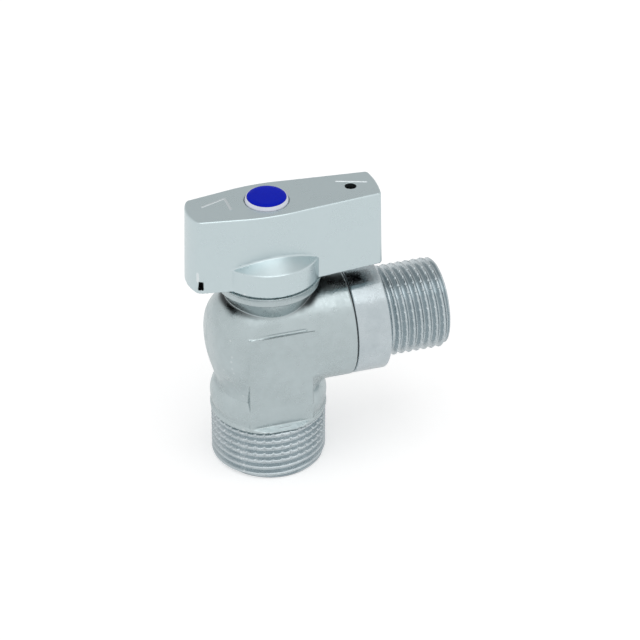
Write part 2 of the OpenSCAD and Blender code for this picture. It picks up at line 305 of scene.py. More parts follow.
def closed_grid(name: str, points: Array) -> bpy.types.Object:
    """Makes a ring-shaped piece from a grid that closes on itself both ways.

    Args:
        name: Name of the piece.
        points: Grid of shape rows, columns, 3, whose rows run along the profile and whose columns run round.

    Returns:
        The closed piece.
    """
    rows, columns = points.shape[:2]
    row, column = np.meshgrid(np.arange(rows), np.arange(columns), indexing="ij")
    below, beside = (row + 1) % rows, (column + 1) % columns
    quads = np.stack([row * columns + column, row * columns + beside,
                      below * columns + beside, below * columns + column], axis=-1)
    return new_object(name, points.reshape(-1, 3), quads.reshape(-1, 4))


def turned_points(along: Array, radius: Array, angle: Array, axis: Axis, height: float) -> Array:
    """Places of a turned surface: the radius swings round the axis and the length runs along it.

    Args:
        along: Distance along the axis.
        radius: Distance from the axis.
        angle: Angle round the axis, in radians.
        axis: The axis.
        height: Height of the inlet's axis.

    Returns:
        Array of x, y and z.
    """
    across, up = radius * np.cos(angle), radius * np.sin(angle)
    along = np.broadcast_to(along, across.shape)
    if axis is Axis.STEM:
        return np.stack([across, up, along], axis=-1)
    return np.stack([along, across, height + up], axis=-1)


def disc_of_rings(name: str, radii: Array, heights: Array, columns: int = 96) -> bpy.types.Object:
    """Turns a profile that starts and ends on the stem's axis into a closed piece with two pole fans.

    Args:
        name: Name of the piece.
        radii: Distances from the axis, from the top pole's first ring to the bottom pole's last.
        heights: Heights of the rings, with the two poles' heights first and last.
        columns: Number of sides.

    Returns:
        The closed piece.
    """
    angle = np.arange(columns) * TURN / columns
    rings = turned_points(heights[1:-1, None], radii[:, None], angle[None, :], Axis.STEM, 0)
    rows = len(radii)
    points = np.concatenate([rings.reshape(-1, 3), [[0, 0, heights[0]], [0, 0, heights[-1]]]])
    row, column = np.meshgrid(np.arange(rows - 1), np.arange(columns), indexing="ij")
    beside = (column + 1) % columns
    quads = np.stack([row * columns + column, (row + 1) * columns + column,
                      (row + 1) * columns + beside, row * columns + beside], axis=-1).reshape(-1, 4)
    around = np.arange(columns)
    after = (around + 1) % columns
    top, bottom = rows * columns, rows * columns + 1
    last = (rows - 1) * columns
    fans = [np.stack([np.full(columns, top), around, after], axis=1),
            np.stack([np.full(columns, bottom), last + after, last + around], axis=1)]
    faces = [list(map(int, face)) for face in (*quads, *fans[0], *fans[1])]
    mesh = bpy.data.meshes.new(name)
    mesh.from_pydata(points.tolist(), [], faces)
    mesh.polygons.foreach_set("use_smooth", np.ones(len(mesh.polygons), bool))
    piece = bpy.data.objects.new(name, mesh)
    bpy.context.scene.collection.objects.link(piece)
    return piece


def rounded_profile(corners: list[tuple[float, float]], radius: float, steps: int = 3) -> Array:
    """Rounds the corners of an open profile.

    Formula: each inner corner becomes a quadratic Bezier curve between two points at the radius's
    distance from it along its sides, or at 0.45 of a shorter side.

    Args:
        corners: Pairs of radius and length along the axis.
        radius: Size of the rounding.
        steps: Points added along each curve.

    Returns:
        Rows of radius and length along the axis.
    """
    given = np.array(corners)
    rows = [given[:1]]
    share = np.linspace(0, 1, steps + 1)[:, None]
    for before, here, after in zip(given[:-2], given[1:-1], given[2:]):
        back, ahead = before - here, after - here
        back_size, ahead_size = np.linalg.norm(back), np.linalg.norm(ahead)
        start = here + back / back_size * min(radius, 0.45 * back_size)
        end = here + ahead / ahead_size * min(radius, 0.45 * ahead_size)
        rows.append((1 - share) ** 2 * start + 2 * share * (1 - share) * here + share ** 2 * end)
    rows.append(given[-1:])
    return np.concatenate(rows)


def settle_in(piece: bpy.types.Object, body: BodyName, slot: str, material: bpy.types.Material,
              *stands_for: str) -> bpy.types.Object:
    """Dresses a finished piece, lets it ride on its body and hides the CAD nodes that it stands for.

    Args:
        piece: The finished piece.
        body: The CAD body that it moves with.
        slot: Name of the piece's material slot; not used.
        material: Its finish.
        stands_for: CAD nodes that it replaces.

    Returns:
        The piece.
    """
    piece.data.materials.clear()
    piece.data.materials.append(material)
    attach(piece, body.value)
    if stands_for:
        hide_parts(*stands_for)
    LOG.info("%s: %d faces on %s", piece.name, len(piece.data.polygons), body.value)
    return piece


# Shader node groups and finishes


class NodeSheet:
    """Adds linked nodes to a material or to a node group."""

    def __init__(self, tree: bpy.types.NodeTree) -> None:
        """Keeps the tree that nodes are added to."""
        self.tree = tree

    def add(self, kind: str, values: dict[str, object] | None = None, **settings: object) -> bpy.types.Node:
        """Adds one node.

        Args:
            kind: Blender's name of the node type.
            values: Input sockets by name, each with a value or with the socket that feeds it.
            settings: Properties of the node.

        Returns:
            The node.
        """
        node = self.tree.nodes.new(kind)
        for key, value in settings.items():
            setattr(node, key, value)
        for key, value in (values or {}).items():
            socket = node.inputs[key]
            if isinstance(value, bpy.types.NodeSocket):
                self.tree.links.new(value, socket)
            else:
                socket.default_value = value
        return node

    def math(self, operation: str, first: object, second: object = 0.0,
             third: object = 0.0) -> bpy.types.NodeSocket:
        """Adds a math node and returns its result."""
        node = self.add("ShaderNodeMath", {0: first, 1: second, 2: third}, operation=operation)
        return node.outputs[0]

    def ramp(self, value: object, low: float, high: float, start: float = 0.0,
             end: float = 1.0) -> bpy.types.NodeSocket:
        """Maps a value smoothly from low..high onto start..end and returns the result."""
        node = self.add("ShaderNodeMapRange", {"Value": value, "From Min": low, "From Max": high,
                                               "To Min": start, "To Max": end},
                        interpolation_type="SMOOTHSTEP")
        return node.outputs[0]

    def noise(self, place: object, scale: float, detail: float = 2.0, roughness: float = 0.5,
              distortion: float = 0.0) -> bpy.types.NodeSocket:
        """Adds a noise texture, with its scale per metre, and returns its value."""
        node = self.add("ShaderNodeTexNoise", {"Vector": place, "Scale": scale, "Detail": detail,
                                               "Roughness": roughness, "Distortion": distortion})
        return node.outputs["Fac"]


class NodeGroups:
    """The shader node groups that several finishes share."""

    def __init__(self) -> None:
        """Builds each group once."""
        self.grain = self.make_grain()
        self.bloom = self.make_bloom()
        self.edges = self.make_rubbed_edges_and_crevice_shade()
        self.inside = self.make_inside_painted_shade()
        self.painted_shade_beside_boss = self.make_painted_shade_beside_boss()

    @staticmethod
    def empty(name: str, inputs: dict[str, float],
              outputs: dict[str, str]) -> tuple[NodeSheet, bpy.types.Node, bpy.types.Node]:
        """Makes a group with a Place vector input, float inputs and named outputs.

        Args:
            name: Name of the group.
            inputs: Float inputs with their default values.
            outputs: Output sockets with their types.

        Returns:
            The sheet, the group's input node and its output node.
        """
        tree = bpy.data.node_groups.new(name, "ShaderNodeTree")
        tree.interface.new_socket("Place", in_out="INPUT", socket_type="NodeSocketVector")
        for key, value in inputs.items():
            socket = tree.interface.new_socket(key, in_out="INPUT", socket_type="NodeSocketFloat")
            socket.default_value = value
        for key, kind in outputs.items():
            tree.interface.new_socket(key, in_out="OUTPUT", socket_type=kind)
        sheet = NodeSheet(tree)
        return sheet, sheet.add("NodeGroupInput"), sheet.add("NodeGroupOutput")

    def make_grain(self) -> bpy.types.NodeTree:
        """Skin of a blasted forging: round dimples of two sizes under a soft swell."""
        sheet, given, out = self.empty("blasted_grain", {"Scale": 1500.0, "Pits": 0.5},
                                       {"Height": "NodeSocketFloat", "Speck": "NodeSocketFloat"})
        cells = sheet.add("ShaderNodeTexVoronoi", {"Vector": given.outputs["Place"],
                                                   "Scale": given.outputs["Scale"]},
                          feature="SMOOTH_F1", distance="EUCLIDEAN")
        cells.inputs["Smoothness"].default_value = 0.7
        coarse = sheet.math("MULTIPLY", given.outputs["Scale"], 0.42)
        swell = sheet.noise(given.outputs["Place"], 500.0, 3.0, 0.55)
        sheet.tree.links.new(coarse, swell.node.inputs["Scale"])
        dimples = sheet.math("MULTIPLY", cells.outputs["Distance"], given.outputs["Pits"])
        sheet.tree.links.new(sheet.math("ADD", swell, dimples), out.inputs["Height"])
        sheet.tree.links.new(sheet.ramp(swell, 0.42, 0.68), out.inputs["Speck"])
        return sheet.tree

    def make_bloom(self) -> bpy.types.NodeTree:
        """Slow clouding of a plated metal's tone: two noises, one wide and one narrow."""
        sheet, given, out = self.empty("plating_bloom", {"Scale": 120.0}, {"Tone": "NodeSocketFloat"})
        wide = sheet.noise(given.outputs["Place"], 120.0, 3.0, 0.6, 0.3)
        sheet.tree.links.new(given.outputs["Scale"], wide.node.inputs["Scale"])
        narrow_scale = sheet.math("MULTIPLY", given.outputs["Scale"], 4.3)
        narrow = sheet.noise(given.outputs["Place"], 500.0, 4.0, 0.6)
        sheet.tree.links.new(narrow_scale, narrow.node.inputs["Scale"])
        sheet.tree.links.new(sheet.math("MULTIPLY_ADD", narrow, 0.4, sheet.math("MULTIPLY", wide, 0.6)),
                             out.inputs["Tone"])
        return sheet.tree

    def make_rubbed_edges_and_crevice_shade(self) -> bpy.types.NodeTree:
        """Masks of rubbed edges, where the mesh is sharply convex, broken up by a noise, and of concave
        places for painted crevice shade.
        """
        sheet, given, out = self.empty("rubbed_edges_and_crevice_shade", {"Sharpness": 0.57},
                                       {"Mask": "NodeSocketFloat", "CreviceShade": "NodeSocketFloat"})
        form = sheet.add("ShaderNodeNewGeometry")
        breakup = sheet.noise(given.outputs["Place"], 900.0, 3.0, 0.6)
        lifted = sheet.math("MULTIPLY_ADD", breakup, 0.06, form.outputs["Pointiness"])
        past = sheet.math("SUBTRACT", lifted, given.outputs["Sharpness"])
        sheet.tree.links.new(sheet.ramp(past, 0.02, 0.12), out.inputs["Mask"])
        # Concave places: the finishes darken them as painted shade.
        sunk = sheet.math("SUBTRACT", 0.5, form.outputs["Pointiness"])
        sheet.tree.links.new(sheet.ramp(sunk, 0.02, 0.14), out.inputs["CreviceShade"])
        return sheet.tree

    def make_inside_painted_shade(self) -> bpy.types.NodeTree:
        """Mask of painted shade inside the handle: between the bar's walls, under the hub or in the slot."""
        given_sizes = {"Half": 6.0 * MM, "Taper": -0.13, "Ceiling": 66.4 * MM, "Hub": 10.5 * MM,
                       "Hub Ceiling": 53.8 * MM}
        bow_x, front_x, back_x = 6 * MM, 24.3 * MM, -17.2 * MM
        slot_x, slot_z, slot_half, slot_tall, slot_y = -16.7 * MM, 51.2 * MM, 0.5 * MM, 1.1 * MM, -3 * MM
        sheet, given, out = self.empty("inside_painted_shade", given_sizes, {"Mask": "NodeSocketFloat"})
        split = sheet.add("ShaderNodeSeparateXYZ", {0: given.outputs["Place"]})
        x, y, z = (split.outputs[letter] for letter in "XYZ")
        past = sheet.math("MAXIMUM", sheet.math("SUBTRACT", sheet.math("ABSOLUTE", x), bow_x), 0.0)
        half = sheet.math("MULTIPLY_ADD", past, given.outputs["Taper"], given.outputs["Half"])
        in_bar = sheet.math("LESS_THAN", sheet.math("ABSOLUTE", y), half)
        in_bar = sheet.math("MULTIPLY", in_bar, sheet.math("LESS_THAN", x, front_x))
        in_bar = sheet.math("MULTIPLY", in_bar, sheet.math("GREATER_THAN", x, back_x))
        in_bar = sheet.math("MULTIPLY", in_bar, sheet.math("LESS_THAN", z, given.outputs["Ceiling"]))
        square = sheet.math("MULTIPLY_ADD", x, x, sheet.math("MULTIPLY", y, y))
        in_hub = sheet.math("LESS_THAN", sheet.math("SQRT", square), given.outputs["Hub"])
        in_hub = sheet.math("MULTIPLY", in_hub, sheet.math("LESS_THAN", z, given.outputs["Hub Ceiling"]))
        beside = sheet.math("ABSOLUTE", sheet.math("SUBTRACT", x, slot_x))
        from_slot = sheet.math("ABSOLUTE", sheet.math("SUBTRACT", z, slot_z))
        in_slot = sheet.math("MULTIPLY", sheet.math("LESS_THAN", beside, slot_half),
                             sheet.math("LESS_THAN", from_slot, slot_tall))
        in_slot = sheet.math("MULTIPLY", in_slot, sheet.math("LESS_THAN", y, slot_y))
        mask = sheet.math("MAXIMUM", sheet.math("MAXIMUM", in_bar, in_hub), in_slot)
        sheet.tree.links.new(mask, out.inputs["Mask"])
        return sheet.tree

    def make_painted_shade_beside_boss(self) -> bpy.types.NodeTree:
        """Mask of painted shade in the crevices beside the boss: just outside its cone, high on the barrel.
        """
        sheet, given, out = self.empty("painted_shade_beside_boss", {"Root": 8.7 * MM, "Slope": 0.49, "Cone": 41.6 * MM},
                                       {"Mask": "NodeSocketFloat"})
        split = sheet.add("ShaderNodeSeparateXYZ", {0: given.outputs["Place"]})
        x, y, z = (split.outputs[letter] for letter in "XYZ")
        rho = sheet.math("SQRT", sheet.math("MULTIPLY_ADD", x, x, sheet.math("MULTIPLY", y, y)))
        above = sheet.math("MAXIMUM", sheet.math("SUBTRACT", z, given.outputs["Cone"]), 0.0)
        cone = sheet.math("MULTIPLY_ADD", above, given.outputs["Slope"], given.outputs["Root"])
        off = sheet.math("SUBTRACT", rho, cone)
        near, far = (0.04 * MM, 0.3 * MM), (1.1 * MM, 2.7 * MM)
        bottom, top = (41.6 * MM, 43.3 * MM), (45.4 * MM, 46.0 * MM)
        mask = sheet.math("MULTIPLY", sheet.ramp(off, *near), sheet.ramp(off, *far, 1.0, 0.0))
        mask = sheet.math("MULTIPLY", mask, sheet.ramp(z, *bottom))
        mask = sheet.math("MULTIPLY", mask, sheet.ramp(z, *top, 1.0, 0.0))
        sheet.tree.links.new(mask, out.inputs["Mask"])
        return sheet.tree


@dataclass(frozen=True)
class MetalFinish:
    """A plated or bare metal with a blasted, clouded or turned skin."""

    name: str
    colour: Colour
    dark: Colour
    roughness: float
    rough_spread: float = 0.08
    grain_scale: float = 1500.0
    grain_depth: float = 0.02 * MM
    pits: float = 0.4
    bloom_scale: float = 120.0
    edge_lift: float = 0.25
    # Share of painted shade that darkens concave places.
    crevice_painted_shade: float = 0.5
    # Share of painted shade in the crevices beside the boss.
    boss_painted_shade: float = 0.0
    # Whether the inside of the handle gets painted shade, near-black and dull.
    painted_inside_shade: bool = False
    turning_pitch: float = 0.0
    turning_axis: Axis = Axis.STEM
    turning_depth: float = 0.004 * MM

    def material(self, groups: NodeGroups) -> bpy.types.Material:
        """Builds the metal: clouded tone, brighter rubbed edges, painted shade in concave places, beside the
        boss and inside the handle where asked, and a bump of grain and tool rings.

        Args:
            groups: The shared node groups.

        Returns:
            The material.
        """
        made = bpy.data.materials.new(self.name)
        made.use_nodes = True
        made.node_tree.nodes.clear()
        sheet = NodeSheet(made.node_tree)
        place = sheet.add("ShaderNodeTexCoord").outputs["Object"]
        grain = sheet.add("ShaderNodeGroup", node_tree=groups.grain)
        grain.inputs["Scale"].default_value = self.grain_scale
        grain.inputs["Pits"].default_value = self.pits
        bloom = sheet.add("ShaderNodeGroup", node_tree=groups.bloom)
        bloom.inputs["Scale"].default_value = self.bloom_scale
        edges = sheet.add("ShaderNodeGroup", node_tree=groups.edges)
        for group in (grain, bloom, edges):
            sheet.tree.links.new(place, group.inputs["Place"])
        tone = sheet.ramp(bloom.outputs["Tone"], 0.3, 0.7)
        mixed = sheet.add("ShaderNodeMix", {0: tone}, data_type="RGBA")
        mixed.inputs[6].default_value = (*self.dark, 1)
        mixed.inputs[7].default_value = (*self.colour, 1)
        lifted = sheet.add("ShaderNodeMix", {0: sheet.math("MULTIPLY", edges.outputs["Mask"], self.edge_lift),
                                             6: mixed.outputs[2]}, data_type="RGBA")
        lifted.inputs[7].default_value = (0.86, 0.88, 0.89, 1)
        # Rubbed edges are lighter; concave places get painted shade.
        tone_out = self.darkened(sheet, lifted.outputs[2], sheet.math("MULTIPLY", edges.outputs["CreviceShade"],
                                                                      self.crevice_painted_shade))
        rough = sheet.ramp(sheet.math("MULTIPLY_ADD", grain.outputs["Speck"], 0.5,
                                      sheet.math("MULTIPLY", tone, 0.5)),
                           0.0, 1.0, self.roughness - self.rough_spread, self.roughness + self.rough_spread)
        # Painted shade beside the boss: darkens the barrel just outside the boss's cone.
        if self.boss_painted_shade > 0:
            shade = sheet.add("ShaderNodeGroup", {"Place": place}, node_tree=groups.painted_shade_beside_boss)
            tone_out = self.darkened(sheet, tone_out, sheet.math("MULTIPLY", shade.outputs["Mask"],
                                                                 self.boss_painted_shade))
        # Painted shade inside the handle: near-black and dull between the walls, under the hub and in the
        # slot.
        if self.painted_inside_shade:
            inside = sheet.add("ShaderNodeGroup", {"Place": place}, node_tree=groups.inside)
            tone_out = self.darkened(sheet, tone_out, inside.outputs["Mask"], 0.05)
            rough = sheet.math("MAXIMUM", rough, sheet.math("MULTIPLY", inside.outputs["Mask"], 0.6))
        height = sheet.math("MULTIPLY", grain.outputs["Height"], self.grain_depth)
        if self.turning_pitch > 0:
            height = sheet.math("ADD", height, self.rings(sheet, place))
        bump = sheet.add("ShaderNodeBump", {"Height": height, "Distance": 1.0, "Strength": 1.0})
        shader = sheet.add("ShaderNodeBsdfPrincipled", {"Base Color": tone_out, "Metallic": 1.0,
                                                        "Roughness": rough, "Normal": bump.outputs["Normal"]})
        sheet.add("ShaderNodeOutputMaterial", {"Surface": shader.outputs[0]})
        return made

    @staticmethod
    def darkened(sheet: NodeSheet, colour: bpy.types.NodeSocket, share: bpy.types.NodeSocket,
                 level: float = 0.025) -> bpy.types.NodeSocket:
        """Mixes the colour towards a near-black grey of the level by the share."""
        mix = sheet.add("ShaderNodeMix", {0: share, 6: colour}, data_type="RGBA")
        mix.inputs[7].default_value = (level, 1.1 * level, 1.15 * level, 1)
        return mix.outputs[2]

    def rings(self, sheet: NodeSheet, place: bpy.types.NodeSocket) -> bpy.types.NodeSocket:
        """Fine tool rings: a sine along the turning axis, shaken by a noise."""
        split = sheet.add("ShaderNodeSeparateXYZ", {0: place})
        along = split.outputs["Z" if self.turning_axis is Axis.STEM else "X"]
        shake = sheet.noise(place, 700.0, 2.0)
        phase = sheet.math("MULTIPLY_ADD", along, TURN / self.turning_pitch,
                           sheet.math("MULTIPLY", shake, 3.0))
        return sheet.math("MULTIPLY", sheet.math("SINE", phase), self.turning_depth)


@dataclass(frozen=True)
class PlainFinish:
    """A plastic or rubber with a faint grain and a little clouding."""

    name: str
    colour: Colour
    dark: Colour
    roughness: float
    gloss: float = 0.5
    coat: float = 0.0
    grain_scale: float = 1800.0
    grain_depth: float = 0.006 * MM

    def material(self, groups: NodeGroups) -> bpy.types.Material:
        """Builds the finish: clouded colour, grain bump and an optional clear coat.

        Args:
            groups: The shared node groups.

        Returns:
            The material.
        """
        made = bpy.data.materials.new(self.name)
        made.use_nodes = True
        made.node_tree.nodes.clear()
        sheet = NodeSheet(made.node_tree)
        place = sheet.add("ShaderNodeTexCoord").outputs["Object"]
        grain = sheet.add("ShaderNodeGroup", node_tree=groups.grain)
        grain.inputs["Scale"].default_value = self.grain_scale
        bloom = sheet.add("ShaderNodeGroup", node_tree=groups.bloom)
        bloom.inputs["Scale"].default_value = 300.0
        for group in (grain, bloom):
            sheet.tree.links.new(place, group.inputs["Place"])
        mixed = sheet.add("ShaderNodeMix", {0: sheet.ramp(bloom.outputs["Tone"], 0.3, 0.7)}, data_type="RGBA")
        mixed.inputs[6].default_value = (*self.dark, 1)
        mixed.inputs[7].default_value = (*self.colour, 1)
        height = sheet.math("MULTIPLY", grain.outputs["Height"], self.grain_depth)
        bump = sheet.add("ShaderNodeBump", {"Height": height, "Distance": 1.0, "Strength": 1.0})
        rough = sheet.ramp(bloom.outputs["Tone"], 0.2, 0.8, self.roughness - 0.03, self.roughness + 0.03)
        shader = sheet.add("ShaderNodeBsdfPrincipled", {"Base Color": mixed.outputs[2], "Roughness": rough,
                                                        "Normal": bump.outputs["Normal"]})
        shader.inputs["Specular IOR Level"].default_value = self.gloss
        shader.inputs["Coat Weight"].default_value = self.coat
        shader.inputs["Coat Roughness"].default_value = 0.05
        sheet.add("ShaderNodeOutputMaterial", {"Surface": shader.outputs[0]})
        return made


class FinishSet:
    """Every finish of the valve, made once."""

    def __init__(self) -> None:
        """Builds the node groups and all materials."""
        groups = NodeGroups()
        finishes = [
            # The forging gets painted shade in the crevices beside the boss.
            MetalFinish("forged_nickel", (0.49, 0.56, 0.575), (0.44, 0.505, 0.515), 0.33,
                        grain_scale=1150.0, grain_depth=0.055 * MM, boss_painted_shade=0.96),
            MetalFinish("machined_nickel", (0.55, 0.61, 0.635), (0.47, 0.53, 0.555), 0.25,
                        grain_scale=1500.0, grain_depth=0.02 * MM, edge_lift=0.4,
                        turning_pitch=0.12 * MM, turning_axis=Axis.INLET),
            # The handle's satin chrome is painted near-black inside as shade.
            MetalFinish("satin_chrome", (0.57, 0.66, 0.68), (0.555, 0.645, 0.665), 0.30,
                        rough_spread=0.03, grain_scale=2600.0, grain_depth=0.004 * MM, pits=0.2,
                        edge_lift=0.5, crevice_painted_shade=0.3, painted_inside_shade=True),
            # The marks' finish is a lighter copy of the satin chrome: the beads are real, their lightness is
            # painted highlight.
            MetalFinish("raised_mark_painted_highlight", (0.70, 0.76, 0.78), (0.66, 0.72, 0.74), 0.40, crevice_painted_shade=0.0),
            MetalFinish("polished_chrome", (0.72, 0.74, 0.75), (0.66, 0.68, 0.69), 0.07,
                        rough_spread=0.02, grain_depth=0.001 * MM),
            MetalFinish("bare_brass", (0.78, 0.58, 0.27), (0.66, 0.46, 0.19), 0.24,
                        turning_pitch=0.15 * MM),
            MetalFinish("zinc_plate", (0.62, 0.64, 0.66), (0.5, 0.52, 0.54), 0.3),
            MetalFinish("spring_steel", (0.38, 0.39, 0.40), (0.28, 0.29, 0.30), 0.32),
            PlainFinish("ptfe", (0.86, 0.86, 0.84), (0.80, 0.80, 0.78), 0.38),
            PlainFinish("ring_rubber", (0.018, 0.018, 0.019), (0.010, 0.010, 0.011), 0.5),
            PlainFinish("joint_gasket", (0.05, 0.055, 0.06), (0.03, 0.033, 0.036), 0.6),
            PlainFinish("pale_nylon", (0.80, 0.82, 0.90), (0.74, 0.76, 0.86), 0.3, gloss=0.3),
            PlainFinish("index_blue", (0.002, 0.013, 0.50), (0.002, 0.010, 0.44), 0.2, gloss=0.05),
        ]
        self.by_name = {finish.name: finish.material(groups) for finish in finishes}

    def __getitem__(self, name: str) -> bpy.types.Material:
        """The material with that name."""
        return self.by_name[name]


# The valve's pieces


@dataclass(frozen=True)
class ThreadForm:
    """A parallel pipe thread with 55 degree flanks and rounded crests and roots."""

    crest_r: float
    pitch: float = 1.814 * MM
    half_angle: float = math.radians(27.5)
    rounding_share: float = 0.137329
    depth_share: float = 0.640327

    @property
    def depth(self) -> float:
        """Distance from crest to root."""
        return self.depth_share * self.pitch

    def drop(self, phase: Array) -> Array:
        """How far the thread lies below its crest.

        Formula: with u the distance from the nearest crest, a circle arc about the crest, a straight
        flank at the half angle, and the same arc upside down about the root.

        Args:
            phase: Position along the thread in pitches.

        Returns:
            Depth below the crest.
        """
        u = np.abs(phase - np.round(phase)) * self.pitch
        rounding = self.rounding_share * self.pitch
        touch = rounding * math.cos(self.half_angle)
        flank_start = rounding * (1 - math.sin(self.half_angle))
        crest = rounding - np.sqrt(np.maximum(rounding ** 2 - u ** 2, 0))
        flank = flank_start + (u - touch) / math.tan(self.half_angle)
        v = self.pitch / 2 - u
        root = self.depth - rounding + np.sqrt(np.maximum(rounding ** 2 - v ** 2, 0))
        return np.where(u < touch, crest, np.where(v < touch, root, flank))


@dataclass(frozen=True)
class Nicks:
    """Straight nicks across the thread's crests, which hold the sealing tape."""

    count: int
    depth: float
    half_width: float
    fade_start: float
    fade_end: float

    def cut(self, along: Array, angle: Array, radius: float) -> Array:
        """Depth of the nicks.

        Formula: a rounded notch, one less the square of the distance from its middle over its half
        width, at every whole part of the turn, fading out along the axis.

        Args:
            along: Distance along the axis.
            angle: Angle round the axis.
            radius: Crest radius.

        Returns:
            Depth of the cut below the crest.
        """
        part = angle * self.count / TURN
        off = np.abs(part - np.round(part)) * TURN * radius / self.count
        notch = np.maximum(1 - (off / self.half_width) ** 2, 0)
        return self.depth * notch * smooth_step(along, self.fade_start, self.fade_end)


@dataclass
class OutletSpigot:
    """The threaded spigot at the foot of the forging."""

    thread: ThreadForm
    nicks: Nicks
    bore_r: float = 9.0 * MM
    bore_edge: float = 0.25 * MM
    top: float = 13.0 * MM
    tuck: float = 0.7 * MM
    lead: float = 1.0 * MM
    lead_drop: float = 1.15 * MM
    columns: int = 512
    rows_per_pitch: int = 14

    def grid(self) -> Array:
        """Works the spigot out as a closed profile carried round the stem's axis.

        Formula: down the outside the radius is the crest radius less the thread's drop at z over
        the pitch less the angle's share of a turn, less the nicks, and no more than a lead-in cone
        at the end face. Then come the end face, the bore and a ring that is tucked into the collar.

        Returns:
            Grid of points.
        """
        angle = np.arange(self.columns) * TURN / self.columns
        count = round(self.top / self.thread.pitch * self.rows_per_pitch)
        z = np.linspace(self.top + self.tuck, 0, count)[:, None]
        phase = z / self.thread.pitch - angle / TURN
        root = self.thread.crest_r - self.thread.depth
        drop = self.thread.drop(phase)
        cut = np.maximum(self.nicks.cut(z, angle, self.thread.crest_r) - drop, 0)
        outer = self.thread.crest_r - drop - cut
        cone = self.lead_drop * (1 - smooth_step(z, -self.lead, self.lead))
        outer = np.minimum(outer, self.thread.crest_r - cone)
        outer = np.maximum(outer, root - self.lead_drop)
        outer = np.where(z > self.top + self.tuck * 0.5, root, outer)
        inner_z = np.array([0, 0, self.bore_edge, self.top * 0.5, self.top + self.tuck])[:, None]
        inner = self.bore_r + np.array([0, self.bore_edge, 0, 0, 0])[:, None] + 0 * angle
        inner[0] = (outer[-1] + self.bore_r) / 2
        radius = np.concatenate([outer, inner])
        along = np.concatenate([z, inner_z])
        return turned_points(along, radius, angle[None, :] + 0 * radius, Axis.STEM, 0)

    def build(self, finishes: FinishSet) -> None:
        """Makes the spigot and dresses it."""
        piece = closed_grid("outlet_thread", self.grid())
        settle_in(piece, BodyName.VALVE, "nickel_machined", finishes["machined_nickel"])


